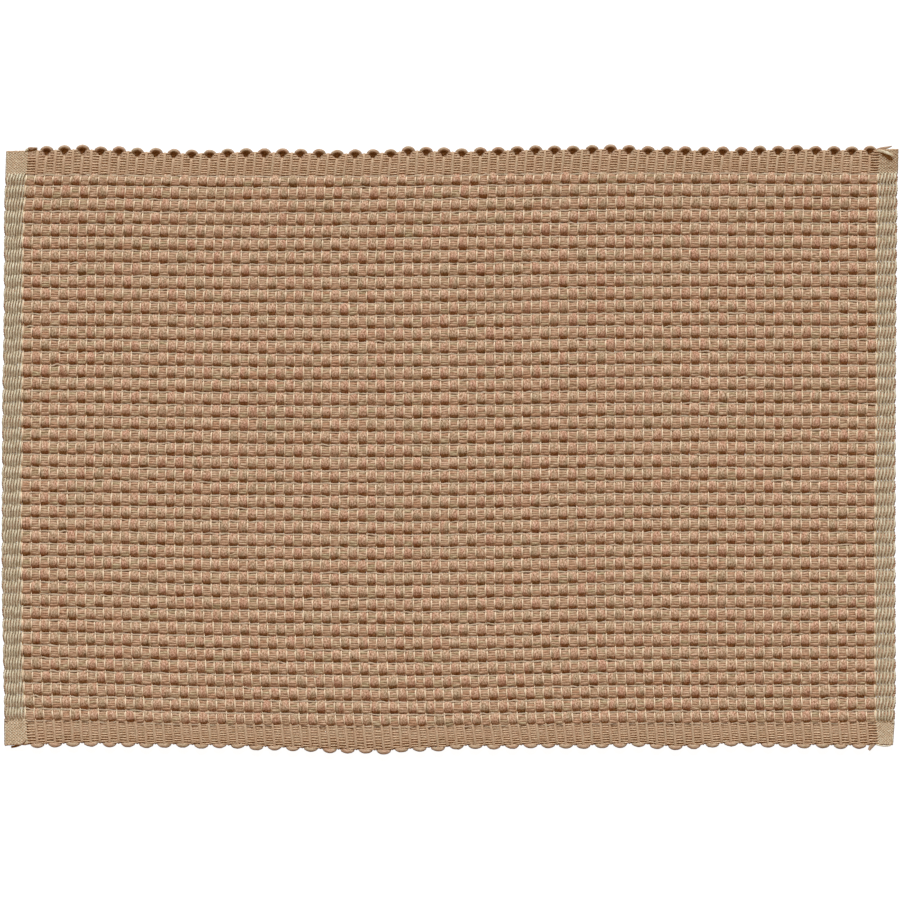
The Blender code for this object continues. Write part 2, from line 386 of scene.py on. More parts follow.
def spun_cotton(name, tones, heather_length, fibre_depth, grain=(520, 1500, 1500)):
    """Spun cotton: tones that change along the yarn, fine fibres, and a soft sheen.

    tones are three linear colours, heather_length the yarn's length between changes of
    tone in metres, fibre_depth how much the fibres lighten and darken it, and grain how
    many of them lie in a metre along and across the yarn.
    """
    material = bpy.data.materials.new(name)
    material.use_nodes = True
    nodes, links = material.node_tree.nodes, material.node_tree.links
    shader = nodes["Principled BSDF"]
    place = nodes.new("ShaderNodeAttribute")
    place.attribute_name = "spun"

    def noise(stretch, detail, rough):
        mapping = nodes.new("ShaderNodeMapping")
        mapping.inputs["Scale"].default_value = stretch
        links.new(place.outputs["Vector"], mapping.inputs["Vector"])
        texture = nodes.new("ShaderNodeTexNoise")
        texture.inputs["Scale"].default_value = 1.0
        texture.inputs["Detail"].default_value = detail
        texture.inputs["Roughness"].default_value = rough
        links.new(mapping.outputs["Vector"], texture.inputs["Vector"])
        return texture.outputs["Fac"]

    heather = noise((1 / heather_length, HEATHER_ACROSS, HEATHER_ACROSS), detail=2.0, rough=0.6)
    fibres = noise(grain, detail=4.0, rough=0.75)

    ramp = nodes.new("ShaderNodeValToRGB")
    ramp.color_ramp.elements[0].position = 0.36
    ramp.color_ramp.elements[1].position = 0.64
    ramp.color_ramp.elements.new(0.5)
    for element, tone in zip(ramp.color_ramp.elements, tones):
        element.color = (*tone, 1.0)
    links.new(heather, ramp.inputs["Fac"])

    shade = nodes.new("ShaderNodeMapRange")
    shade.inputs["From Min"].default_value = 0.3
    shade.inputs["From Max"].default_value = 0.7
    shade.inputs["To Min"].default_value = 1 - fibre_depth
    shade.inputs["To Max"].default_value = 1 + fibre_depth
    links.new(fibres, shade.inputs["Value"])
    # In the shade between fibres cotton turns redder: green and blue fade before red does.
    deeper = nodes.new("ShaderNodeCombineXYZ")
    for socket, exponent in (("X", 1.0), ("Y", 1.25), ("Z", 1.6)):
        power = nodes.new("ShaderNodeMath")
        power.operation = "POWER"
        power.inputs[1].default_value = exponent
        links.new(shade.outputs["Result"], power.inputs[0])
        links.new(power.outputs["Value"], deeper.inputs[socket])
    colour = nodes.new("ShaderNodeVectorMath")
    colour.operation = "MULTIPLY"
    links.new(ramp.outputs["Color"], colour.inputs[0])
    links.new(deeper.outputs["Vector"], colour.inputs[1])
    links.new(colour.outputs["Vector"], shader.inputs["Base Color"])

    rough = nodes.new("ShaderNodeMapRange")
    rough.inputs["To Min"].default_value = 0.78
    rough.inputs["To Max"].default_value = 0.96
    links.new(fibres, rough.inputs["Value"])
    links.new(rough.outputs["Result"], shader.inputs["Roughness"])

    bump = nodes.new("ShaderNodeBump")
    bump.inputs["Strength"].default_value = 0.7
    bump.inputs["Distance"].default_value = 0.00025
    links.new(fibres, bump.inputs["Height"])
    links.new(bump.outputs["Normal"], shader.inputs["Normal"])

    shader.inputs["Specular IOR Level"].default_value = 0.05
    shader.inputs["Sheen Weight"].default_value = 0.05
    shader.inputs["Sheen Tint"].default_value = (1.0, 0.78, 0.6, 1.0)
    shader.inputs["Sheen Roughness"].default_value = 0.5
    return material


def rib_warps(name, first_rib, last_rib, material):
    ribs = np.repeat(np.arange(first_rib, last_rib), len(WARPS_ACROSS))[:, None]
    across, lift, dip = (
        np.tile(each, last_rib - first_rib)[:, None]
        for each in (WARPS_ACROSS, WARP_LIFTS, WARP_BAND_DIPS)
    )
    line = ribs + across
    runs = np.repeat(np.arange(RUN_COUNT), 2)
    over_the_run = np.where((ribs + runs) % 2 == 0, 1.0, -1.0)
    z = WEAVE_HEIGHT + lift * over_the_run
    z = np.maximum(z + chance.normal(0, WARP_HEIGHT_SPREAD, z.shape), LOWEST_WARP)
    x = run_x(runs + np.tile(WARP_PLACES, RUN_COUNT), line)
    centres = hemmed(line, x, z, dip, WARP_HALF_HEIGHT)
    centres[..., 1] += chance.normal(0, WARP_ASIDE_SPREAD, centres.shape[:2])
    slub = 1 + chance.normal(0, WARP_SLUB, centres.shape[:2])
    number = RIB_NUMBER_STEP * ribs[:, 0] + WARP_NUMBER_STEP * across[:, 0]
    yarns = Yarns(centres, WARP_HALF_WIDTH * slub, WARP_HALF_HEIGHT * slub, number)
    return yarn_piece(name, [yarns], material, sides=4, fuzz=0.9, lengthwise=True)


warp_cotton = spun_cotton(
    "warp_cotton",
    ((0.50, 0.276, 0.157), (0.545, 0.34, 0.21), (0.474, 0.346, 0.195)),
    heather_length=0.022,
    fibre_depth=0.5,
)
far_ribs = rib_warps("rib_warps_far", 0, MIDDLE_LINE, warp_cotton)
near_ribs = rib_warps("rib_warps_near", MIDDLE_LINE, RIB_COUNT, warp_cotton)


# ---------------------------------------------------------------- valley warps
# One paler warp at the head of each rib, and a last one past the foot of the last rib.
# They stay on the upper face, over the thick yarn as well as beside it, and tie the ribs
# down along the valleys between them.

# How far across its rib each lies, how much lower than the rest, how far under the end
# bands' upper layer, and its half width.
ValleyWarp = namedtuple("ValleyWarp", "across drop band_dip half_width")
FIRST_VALLEY_WARP = ValleyWarp(0.19, 0.0, 0.4, 0.62)
VALLEY_WARP = ValleyWarp(0.20, 0.0, 0.4, 0.62)
LAST_VALLEY_WARP = ValleyWarp(0.12, 0.2, 0.75, 0.5)

VALLEY_PLACES = (0.24, 0.76)    # within each run of thick yarn
VALLEY_RISE_BY_WARPS = 0.52     # over the weave's middle, where the rib's other warps are up
VALLEY_RISE_BY_RUN = 0.76       # and where the run of thick yarn is up
VALLEY_HALF_HEIGHT = 0.38
VALLEY_HEIGHT_SPREAD = 0.16
VALLEY_ASIDE_SPREAD = 0.24
VALLEY_SLUB = 0.16
FIRST_VALLEY_NUMBER = 250


def valley_warps(name, material):
    warps = [FIRST_VALLEY_WARP] + [VALLEY_WARP] * (RIB_COUNT - 1) + [LAST_VALLEY_WARP]
    across, drop, dip, half_width = np.array(warps).T[:, :, None]
    ribs = np.arange(len(warps))[:, None]
    line = ribs + across
    runs = np.repeat(np.arange(RUN_COUNT), 2)
    rise = np.where((ribs + runs) % 2 == 0, VALLEY_RISE_BY_WARPS, VALLEY_RISE_BY_RUN)
    z = WEAVE_HEIGHT + rise - drop
    z = z + chance.normal(0, VALLEY_HEIGHT_SPREAD, z.shape)
    x = run_x(runs + np.tile(VALLEY_PLACES, RUN_COUNT), line)
    centres = hemmed(line, x, z, dip, VALLEY_HALF_HEIGHT)
    centres[..., 1] += chance.normal(0, VALLEY_ASIDE_SPREAD, centres.shape[:2])
    slub = 1 + chance.normal(0, VALLEY_SLUB, centres.shape[:2])
    number = FIRST_VALLEY_NUMBER + ribs[:, 0]
    yarns = Yarns(centres, half_width * slub, VALLEY_HALF_HEIGHT * slub, number)
    return yarn_piece(name, [yarns], material, sides=4, fuzz=0.6, lengthwise=True)


pale_warp_cotton = spun_cotton(
    "pale_warp_cotton",
    ((0.45, 0.308, 0.20), (0.485, 0.348, 0.232), (0.45, 0.343, 0.22)),
    heather_length=0.008,
    fibre_depth=0.3,
)
valleys = valley_warps("valley_warps", pale_warp_cotton)


# ---------------------------------------------------------------- warps of the selvedges
# The same cotton in single warps, eighteen along each long edge, set alternately so that
# each run of thick yarn has nine over it. In the corner squares they make a fine plain
# cloth with the end bands' weft, which folds under with the hem.

SELVEDGE_WARPS = 18
SELVEDGE_SETBACKS = {"far": 2.3, "near": 2.1}   # of the woven edge behind the loops' tips
SELVEDGE_EASING = 3.0
SELVEDGE_HEIGHT = 1.5
SELVEDGE_LIFT = 0.95
SINGLE_WARP_HALF_WIDTH = 0.47
SINGLE_WARP_HALF_HEIGHT = 0.38
SINGLE_WARP_ASIDE_SPREAD = 0.07
SINGLE_WARP_SLUB = 0.08
FIRST_SINGLE_NUMBERS = {"far": 320, "near": 300}

# Inside each far loop the outermost warps dip and bulge out towards the loop, and beside
# it they keep to the middle of their run. That leaves a small dark hollow.
HOLLOW_WARPS = 4
HOLLOW_DEPTH = 1.0
HOLLOW_BULGE = 1.2
HOLLOW_SHIFT = 0.2      # of a run
HOLLOW_WARP_HALF_WIDTH = 0.75

CORNER_HEIGHT = 2.25
CORNER_LIFT = 0.19
CORNER_WARP_HALF_WIDTH = 0.58
CORNER_FOLD_RADIUS = 0.72
CORNER_FOLD_INSET = 0.35    # of the warps' middle inside the rim
CORNER_HEM_SHARES = np.array((0.8, 0.1))
CORNER_HEM_HEIGHT = CORNER_HEIGHT - 2 * CORNER_FOLD_RADIUS
PICK_COUNTS = {"left": 14, "right": 12}
FOLD_PICKS = 0.6        # the width that the fold takes up, in picks

CORNER_CURL = 3.0       # how far the far right corner has curled up at its tip
CURL_START = 226
CURL_LENGTH = 12


def selvedge_y(edge, share, x):
    """A place across a selvedge, from 0 at the ribs to 1 at its woven edge."""
    if edge == "far":
        border = line_y(x, 0)
        rim = eased(FAR_TIPS, "x", "y", x, SELVEDGE_EASING) - SELVEDGE_SETBACKS[edge]
    else:
        border = line_y(x, RIB_COUNT)
        rim = eased(NEAR_TIPS, "x", "y", x, SELVEDGE_EASING) + SELVEDGE_SETBACKS[edge]
    return border + (rim - border) * share


def selvedge_line(edge, share):
    """The same place counted in ribs."""
    return -SELVEDGE_LINES * share if edge == "far" else RIB_COUNT + SELVEDGE_LINES * share


def pick_shares(side):
    """Where an end band's wefts lie, from its inner border to just inside its fold."""
    count = PICK_COUNTS[side]
    return (np.arange(count) + 0.5) / (count + FOLD_PICKS)


def corner_curl(edge, share, x):
    """How far the curl lifts a place across a selvedge at x."""
    along = np.clip((x - CURL_START) / CURL_LENGTH, 0, 1)
    return CORNER_CURL * along * share if edge == "far" else 0 * along


def hemmed_corners(line, x, z):
    """The single warps' stations, carried on in the corners' plain weave and hem: x and z."""
    warps = np.arange(SELVEDGE_WARPS)[:, None]
    outwards = {}
    for side in ("left", "right"):
        shares = pick_shares(side)
        over = np.where((warps + np.arange(len(shares))) % 2 == 0, 1.0, -1.0)
        upper = band_x(side, shares, line), CORNER_HEIGHT + CORNER_LIFT * over
        middle = CORNER_HEIGHT - CORNER_FOLD_RADIUS
        fold = round_fold(side, line, CORNER_FOLD_INSET, CORNER_FOLD_RADIUS, middle)
        low = np.full((SELVEDGE_WARPS, len(CORNER_HEM_SHARES)), CORNER_HEM_HEIGHT)
        outwards[side] = [upper, fold, (band_x(side, CORNER_HEM_SHARES, line), low)]
    return end_to_end((x, z), outwards)


def selvedge_warps(name, material):
    groups = []
    first = PICK_COUNTS["left"] + len(FOLD_ANGLES) + len(CORNER_HEM_SHARES)
    in_runs = slice(first, first + 2 * RUN_COUNT)
    warps = np.arange(SELVEDGE_WARPS)[:, None]
    share = (warps + 0.5) / SELVEDGE_WARPS
    runs = np.repeat(np.arange(RUN_COUNT), 2)
    for edge in ("far", "near"):
        line = selvedge_line(edge, share)
        within = np.tile(WARP_PLACES, RUN_COUNT)
        over = np.where((warps + runs) % 2 == 0, 1.0, -1.0)
        z = SELVEDGE_HEIGHT + SELVEDGE_LIFT * over
        if edge == "far":
            dipped = np.clip((warps - SELVEDGE_WARPS + 1) / HOLLOW_WARPS + 1, 0, 1)
            in_loop = (within < 0.5) == (runs % 2 == 0)
            in_hollow = (dipped > 0) & in_loop
            z = np.where(in_hollow, np.minimum(z, SELVEDGE_HEIGHT - HOLLOW_DEPTH * dipped), z)
            inwards = np.where(within < 0.5, HOLLOW_SHIFT, -HOLLOW_SHIFT)
            within = within + np.where((dipped > 0) & ~in_loop, inwards, 0)
        x, z = hemmed_corners(line, run_x(runs + within, line), z)
        z = z + corner_curl(edge, share, x)
        y = selvedge_y(edge, share, x)
        half_width = np.full(x.shape, CORNER_WARP_HALF_WIDTH)
        half_width[:, in_runs] = SINGLE_WARP_HALF_WIDTH
        if edge == "far":
            y[:, in_runs] += HOLLOW_BULGE * dipped * in_loop
            half_width[:, in_runs][in_hollow] = HOLLOW_WARP_HALF_WIDTH
        y = y + chance.normal(0, SINGLE_WARP_ASIDE_SPREAD, y.shape)
        slub = 1 + chance.normal(0, SINGLE_WARP_SLUB, x.shape)
        centres = np.stack([x, y, z], axis=-1)
        number = FIRST_SINGLE_NUMBERS[edge] + warps[:, 0]
        groups.append(Yarns(centres, half_width * slub, SINGLE_WARP_HALF_HEIGHT * slub, number))
    return yarn_piece(name, groups, material, sides=4, fuzz=0.5, lengthwise=True)


single_warp_cotton = spun_cotton(
    "single_warp_cotton",
    ((0.515, 0.316, 0.184), (0.562, 0.364, 0.217), (0.525, 0.36, 0.217)),
    heather_length=0.008,
    fibre_depth=0.46,
)
edge_warps = selvedge_warps("selvedge_warps", single_warp_cotton)


# ---------------------------------------------------------------- thick weft
# A soft roving of heathered cotton, carried back and forth across the mat in 93 runs. It
# is plump where it lies over a rib, and pressed low where the rib's warps lie over it.

# Rings of the yarn in one rib: how far across the rib, the height over the weave's
# middle, and the section's half width and half height.
RunRing = namedtuple("RunRing", "across rise half_width half_height")
PLUMP_RINGS = (
    RunRing(0.10, -0.30, 2.15, 0.88),
    RunRing(0.27, 0.52, 2.28, 1.00),
    RunRing(0.53, 0.93, 2.36, 1.03),
    RunRing(0.76, 0.76, 2.40, 1.00),
    RunRing(0.89, 0.10, 2.36, 0.97),
    RunRing(0.98, -0.55, 2.20, 0.85),
)
PRESSED_RINGS = (
    RunRing(0.20, -0.80, 2.15, 0.95),
    RunRing(0.80, -0.80, 2.15, 0.95),
)
FIRST_RING = RunRing(-0.12, -0.70, 1.80, 0.72)     # before the first rib
LAST_RING = FIRST_RING._replace(across=0.12)       # past the last one
LOWEST_RUN = 1.12       # the least that a run's middle is over the floor
RUN_HEIGHT_SPREAD = 0.1
RUN_ALONG_SPREAD = 0.1
RUN_SLUB = 0.035
FIRST_RUN_NUMBER = 400


def thick_weft(name, material):
    groups = []
    for parity in (0, 1):
        runs = np.arange(parity, RUN_COUNT, 2)[:, None]
        rings = [(0, *FIRST_RING)]
        for rib in range(RIB_COUNT):
            plump = (rib + parity) % 2 == 1
            rings += [(rib, *ring) for ring in (PLUMP_RINGS if plump else PRESSED_RINGS)]
        rings.append((RIB_COUNT, *LAST_RING))
        ribs, across, rise, half_width, half_height = np.array(rings).T
        line = ribs + across
        x = run_x(runs + 0.5, line)
        y = line_y(x, line) + chance.normal(0, RUN_ALONG_SPREAD, x.shape)
        z = WEAVE_HEIGHT + rise + chance.normal(0, RUN_HEIGHT_SPREAD, x.shape)
        slub = 1 + chance.normal(0, RUN_SLUB, x.shape)
        centres = np.stack([x, y, np.maximum(z, LOWEST_RUN)], axis=-1)
        number = FIRST_RUN_NUMBER + runs[:, 0]
        groups.append(Yarns(centres, half_width * slub, half_height * slub, number))
    return yarn_piece(name, groups, material, sides=6, fuzz=0.8)


roving_cotton = spun_cotton(
    "roving_cotton",
    ((0.53, 0.285, 0.175), (0.57, 0.35, 0.215), (0.47, 0.32, 0.19)),
    heather_length=0.011,
    fibre_depth=0.85,
    grain=(1050, 1250, 1250),
)
cloth = thick_weft("thick_weft", roving_cotton)


# ---------------------------------------------------------------- edge loops
# The turns of the same roving. It is pressed flat between the selvedge's warps, and each
# turn stands a little past the woven edge, thinner and rounder than the runs it joins.
# The first run starts and the last one ends in a cut end.

LOOP_COUNT = 46
LOOP_ANGLES = np.radians((0, 25, 50, 72, 90, 108, 130, 155, 180))
LOOP_HEIGHT = 1.35
LOOP_HALF_HEIGHT = 0.88
LOOP_TIP_SPREAD = 0.2
LOOP_TILT_SPREAD = 0.25
LOOP_SLUB = 0.05
FIRST_LOOP_NUMBERS = {"far": 500.5, "near": 400.5}

# The two legs of a loop: their stations across the selvedge, from the ribs to the turn.
LEG_SHARES = np.array((-0.1, 0.12, 0.45, 0.65))
LEG_START_HEIGHT = 1.5
LEG_END_HEIGHT = 1.62
LEG_HALF_WIDTH = 2.1
LEG_HALF_HEIGHT = 0.8

# The turns of the two edges: which way they stand out, where their tips lie, the first
# gap that they close, how far inside its tip the yarn's middle lies, how deep and wide a
# turn is, how much its tip rises and how much thicker it is there, how high its legs lie,
# and its half widths at the tip and the shoulders.
Turn = namedtuple("Turn", "outward tips first_gap inset depth radius rise swell legs thin shoulder")
TURNS = {
    "far": Turn(
        outward=1, tips=FAR_TIPS, first_gap=2, inset=0.85, depth=1.8, radius=2.6,
        rise=1.1, swell=0.4, legs=1.62, thin=0.95, shoulder=1.15,
    ),
    "near": Turn(
        outward=-1, tips=NEAR_TIPS, first_gap=1, inset=1.1, depth=1.5, radius=2.7,
        rise=0.8, swell=0.1, legs=1.75, thin=1.15, shoulder=1.5,
    ),
}
SHOULDER_END = 0.7      # of the turn's depth: from there to the tip it is thin

# The first run's cut end at the far edge and the last one's at the near edge: where the
# tip lies, how far it leans sideways, and the half widths along it.
CutEnd = namedtuple("CutEnd", "edge run tip lean half_widths")
CUT_ENDS = (
    CutEnd("far", 0.5, 163.9, 0.2, (1.8, 1.8, 2.0, 2.3, 2.3)),
    CutEnd("near", RUN_COUNT - 0.5, -163.0, -2.3, (1.8, 1.8, 1.8, 1.6, 0.7)),
)
CUT_END_SHARES = np.array((-0.1, 0.3, 0.7, 0.95))
CUT_END_HEIGHTS = (1.7, 1.5, 1.5, 1.6, 1.7)
CUT_END_HALF_HEIGHTS = (0.78, 0.78, 0.8, 0.8, 0.6)
FIRST_CUT_END_NUMBER = 700


def loops_along(edge):
    """The loops of one long edge, each a leg, its turn and the other leg."""
    turn = TURNS[edge]
    gaps = (turn.first_gap + 2 * np.arange(LOOP_COUNT))[:, None]
    middle = run_x(gaps, selvedge_line(edge, 1.0))
    tip = eased(turn.tips, "x", "y", middle, TIP_EASING)
    tip = tip + chance.normal(0, LOOP_TIP_SPREAD, middle.shape)
    tilt = chance.normal(0, LOOP_TILT_SPREAD, middle.shape)
    towards_tip, sideways = np.sin(LOOP_ANGLES), np.cos(LOOP_ANGLES)
    arc_x = middle - turn.radius * sideways
    arc_y = tip - turn.outward * (turn.inset + turn.depth * (1 - towards_tip))
    arc_z = LOOP_HEIGHT + tilt * towards_tip * sideways + turn.rise * towards_tip
    line = selvedge_line(edge, LEG_SHARES)
    heights = np.array((LEG_START_HEIGHT, turn.legs, turn.legs, LEG_END_HEIGHT))
    legs = []
    for run in (-0.5, 0.5):
        x = run_x(gaps + run, line)
        z = np.broadcast_to(heights, x.shape)
        legs.append(np.stack([x, selvedge_y(edge, LEG_SHARES, x), z], axis=-1))
    arc = np.stack([arc_x, arc_y, arc_z], axis=-1)
    centres = np.concatenate([legs[0], arc, legs[1][:, ::-1]], axis=1)
    arc_width = np.interp(towards_tip, (0, SHOULDER_END, 1), (turn.shoulder, turn.thin, turn.thin))
    arc_height = LOOP_HALF_HEIGHT + turn.swell * towards_tip
    half_width, half_height = (
        np.concatenate([np.full(len(LEG_SHARES), leg), along_arc, np.full(len(LEG_SHARES), leg)])
        for leg, along_arc in ((LEG_HALF_WIDTH, arc_width), (LEG_HALF_HEIGHT, arc_height))
    )
    slub = 1 + chance.normal(0, LOOP_SLUB, centres.shape[:2])
    return Yarns(centres, half_width * slub, half_height * slub, FIRST_LOOP_NUMBERS[edge] + gaps[:, 0])


def cut_end(end):
    """A run that lies flat in the selvedge and stops at its tip, with no turn."""
    x = run_x(end.run, selvedge_line(end.edge, CUT_END_SHARES))
    y = selvedge_y(end.edge, CUT_END_SHARES, x)
    route = np.append(x, x[-1] + end.lean), np.append(y, end.tip), np.array(CUT_END_HEIGHTS)
    number = np.array([FIRST_CUT_END_NUMBER + end.run])
    half_height = np.array(CUT_END_HALF_HEIGHTS)
    return Yarns(np.stack(route, axis=-1)[None], np.array(end.half_widths), half_height, number)


def edge_loops(name, material):
    groups = [loops_along(edge) for edge in ("far", "near")]
    groups += [cut_end(end) for end in CUT_ENDS]
    return yarn_piece(name, groups, material, sides=8, fuzz=0.3)


turned_cotton = spun_cotton(
    "turned_cotton",
    ((0.50, 0.305, 0.192), (0.525, 0.355, 0.228), (0.465, 0.33, 0.204)),
    heather_length=0.007,
    fibre_depth=0.38,
)
turns = edge_loops("edge_loops", turned_cotton)


# ---------------------------------------------------------------- binding weft
# A pair of thin cream yarns in each gap between two runs. One crosses over the even ribs
# and the other over the odd ones, and they pass each other in the valleys between ribs.

# Rings of one binding yarn in a rib that it crosses over, and in one that it passes
# under: how far across the rib, its height over or under the weave's middle, how far it
# stands aside, and its half width.
BindingRing = namedtuple("BindingRing", "across rise aside half_width")
OVER_RINGS = (
    BindingRing(0.13, 0.00, 0.12, 0.34),
    BindingRing(0.39, 1.38, 0.0, 0.40),
    BindingRing(0.69, 1.64, 0.0, 0.40),
    BindingRing(0.93, 0.55, -0.12, 0.34),
)
UNDER_RINGS = (
    BindingRing(0.30, -1.25, 0.05, 0.42),
    BindingRing(0.70, -1.25, -0.05, 0.42),
)
BINDING_HALF_HEIGHT = 0.42
BINDING_ASIDE = 0.16    # away from the run that is plump beside it, where it shows
BINDING_HEIGHT_SPREAD = 0.08
BINDING_SLUB = 0.07
FIRST_BINDING_NUMBERS = (900, 1000)


def binding_weft(name, material):
    groups = []
    gaps = np.arange(RUN_COUNT + 1)[:, None]
    for parity in (0, 1):
        rings = []
        for rib in range(RIB_COUNT):
            passes_over = (rib + parity) % 2 == 0
            rings += [(rib, *ring) for ring in (OVER_RINGS if passes_over else UNDER_RINGS)]
        ribs, across, rise, aside, half_width = np.array(rings).T
        line = ribs + across
        away = np.where((ribs + gaps) % 2 == 0, BINDING_ASIDE, -BINDING_ASIDE)
        x = run_x(gaps, line) + aside + away * (rise > 0)
        z = WEAVE_HEIGHT + rise + chance.normal(0, BINDING_HEIGHT_SPREAD, x.shape)
        slub = 1 + chance.normal(0, BINDING_SLUB, x.shape)
        centres = np.stack([x, line_y(x, line), z], axis=-1)
        number = FIRST_BINDING_NUMBERS[parity] + gaps[:, 0]
        groups.append(Yarns(centres, half_width * slub, BINDING_HALF_HEIGHT * slub, number))
    return yarn_piece(name, groups, material, sides=4, fuzz=0.5)


cream_cotton = spun_cotton(
    "cream_cotton",
    ((0.87, 0.64, 0.42), (0.93, 0.715, 0.49), (0.85, 0.675, 0.44)),
    heather_length=0.006,
    fibre_depth=0.22,
)
binding = binding_weft("binding_weft", cream_cotton)


# ---------------------------------------------------------------- selvedge ridges
# Between the flattened runs of a selvedge the single warps and the binding pair make a
# narrow smooth strip of plain weave. It stands as a rounded ridge out to the woven edge.

# Rings of a ridge, from the ribs outwards: how far along it, its top over the floor, how
# much of its full half width it has, and its half height.
RidgeRing = namedtuple("RidgeRing", "along top breadth half_height")
RIDGE_TOP = 3.0
RIDGE_RINGS = (
    RidgeRing(-0.04, 2.3, 0.8, 0.70),
    RidgeRing(0.04, RIDGE_TOP, 1.0, 0.95),
    RidgeRing(0.35, RIDGE_TOP, 1.0, 0.95),
    RidgeRing(0.70, RIDGE_TOP, 1.0, 0.95),
    RidgeRing(0.94, 2.6, 1.0, 0.90),
    RidgeRing(1.00, 1.6, 0.6, 0.60),
)
RIDGE_HALF_WIDTH = 0.82
RIDGE_SLUB = 0.05

# Each edge's ridges lie inside its loops and between them in turn: the first gap of the
# row, how far across the selvedge the ridges reach, and their first number.
RidgeRow = namedtuple("RidgeRow", "edge first_gap reach first_number")
RIDGE_ROWS = (
    RidgeRow("far", 2, 0.74, 1300),
    RidgeRow("far", 1, 1.00, 1300),
    RidgeRow("near", 1, 1.10, 1200),
    RidgeRow("near", 2, 1.00, 1200),
)


def selvedge_ridges(name, material):
    along, top, breadth, half_height = np.array(RIDGE_RINGS).T
    groups = []
    for row in RIDGE_ROWS:
        gaps = np.arange(row.first_gap, RUN_COUNT, 2)[:, None]
        shares = along * row.reach
        x = run_x(gaps, selvedge_line(row.edge, shares))
        z = np.broadcast_to(top - half_height, x.shape)
        centres = np.stack([x, selvedge_y(row.edge, shares, x), z], axis=-1)
        slub = 1 + chance.normal(0, RIDGE_SLUB, x.shape)
        half_width = RIDGE_HALF_WIDTH * breadth * slub
        groups.append(Yarns(centres, half_width, half_height * slub, row.first_number + gaps[:, 0]))
    return yarn_piece(name, groups, material, sides=6, fuzz=0.4)


ridge_cotton = spun_cotton(
    "ridge_cotton",
    ((0.565, 0.36, 0.215), (0.615, 0.412, 0.257), (0.585, 0.412, 0.257)),
    heather_length=0.010,
    fibre_depth=0.34,
    grain=(1500, 1100, 1100),
)
ridges = selvedge_ridges("selvedge_ridges", ridge_cotton)


# ---------------------------------------------------------------- end bands
# Both short ends are woven with thin ecru weft alone, which crosses over one rib and
# under the next. The cloth there is folded under once, so a second layer lies beneath.

# Rings of one ecru pick in a rib: how far across it, its height over or under the
# band's warps, and how far it leans sideways.
PickRing = namedtuple("PickRing", "across rise lean")
PICK_RINGS = (
    PickRing(0.16, 0.02, 0.34),
    PickRing(0.45, 0.80, 0.12),
    PickRing(0.68, 0.96, -0.12),
    PickRing(0.94, 0.20, -0.34),
)
PICK_HALF_WIDTH = 0.58
PICK_HALF_HEIGHT = 0.36
PICK_HEIGHT_SPREAD = 0.09
PICK_SLUB = 0.1
LOWEST_PICK = 0.48      # the least that a pick's middle is over the floor
FIRST_UPPER_NUMBERS = {"left": 1560, "right": 1520}
FIRST_HEM_NUMBERS = {"left": 1520, "right": 1480}

# How much of their full height over and under the warps the picks have: in the upper
# layer, from its inner border to the fold, and in the hem.
INNER_CRIMP = 0.95
CRIMP_LOSS = 0.2
HEM_CRIMP = 0.45
BAND_HEM_HEIGHT = 2 * HEM_MIDDLE - band_height(1.0)


def corner_picks(side, edge, shares, height):
    """Where an end band's picks cross the single warps in a layer of a corner: x, y and z."""
    warps = np.arange(SELVEDGE_WARPS)
    if edge == "far":
        warps = warps[::-1]
    picks = np.arange(len(shares))[:, None]
    share = (warps + 0.5) / SELVEDGE_WARPS
    x = band_x(side, shares, selvedge_line(edge, share))
    lift = np.where((warps + picks) % 2 == 0, -CORNER_LIFT, CORNER_LIFT)
    return x, selvedge_y(edge, share, x), height + lift + corner_curl(edge, share, x)


def end_band_picks(name, material):
    groups = []
    across, rise, lean = np.tile(np.array(PICK_RINGS), (RIB_COUNT, 1)).T
    ribs = np.repeat(np.arange(RIB_COUNT), len(PICK_RINGS))
    line = ribs + across
    for side in ("left", "right"):
        shares = pick_shares(side)[:, None]
        picks = np.arange(len(shares))[:, None]
        over = np.where((ribs + picks) % 2 == 0, 1.0, -1.0)
        x = band_x(side, shares, line) + lean * over
        upper_bulge = rise * over * (INNER_CRIMP - CRIMP_LOSS * shares)
        hem_bulge = -rise * over * HEM_CRIMP
        for z, corner_height, first_number in (
            (band_height(shares) + upper_bulge, CORNER_HEIGHT, FIRST_UPPER_NUMBERS[side]),
            (BAND_HEM_HEIGHT + hem_bulge, CORNER_HEM_HEIGHT, FIRST_HEM_NUMBERS[side]),
        ):
            z = np.maximum(z + chance.normal(0, PICK_HEIGHT_SPREAD, z.shape), LOWEST_PICK)
            parts = [
                corner_picks(side, "far", shares, corner_height),
                (x, line_y(x, line), z),
                corner_picks(side, "near", shares, corner_height),
            ]
            centres = np.stack([np.concatenate(axis, axis=1) for axis in zip(*parts)], axis=-1)
            slub = 1 + chance.normal(0, PICK_SLUB, centres.shape[:2])
            number = first_number + picks[:, 0]
            groups.append(Yarns(centres, PICK_HALF_WIDTH * slub, PICK_HALF_HEIGHT * slub, number))
    return yarn_piece(name, groups, material, sides=4, fuzz=0.1)


ecru_cotton = spun_cotton(
    "ecru_cotton",
    ((0.642, 0.518, 0.348), (0.758, 0.643, 0.443), (0.684, 0.594, 0.41)),
    heather_length=0.006,
    fibre_depth=0.42,
)
bands = end_band_picks("end_band_weft", ecru_cotton)


# ---------------------------------------------------------------- yarn tails
# Loose ends of the weft yarns. They were cut where the weaving began and ended, and lie
# over the mat's corners: a pale and a tan one at each far corner, and one at each near one.

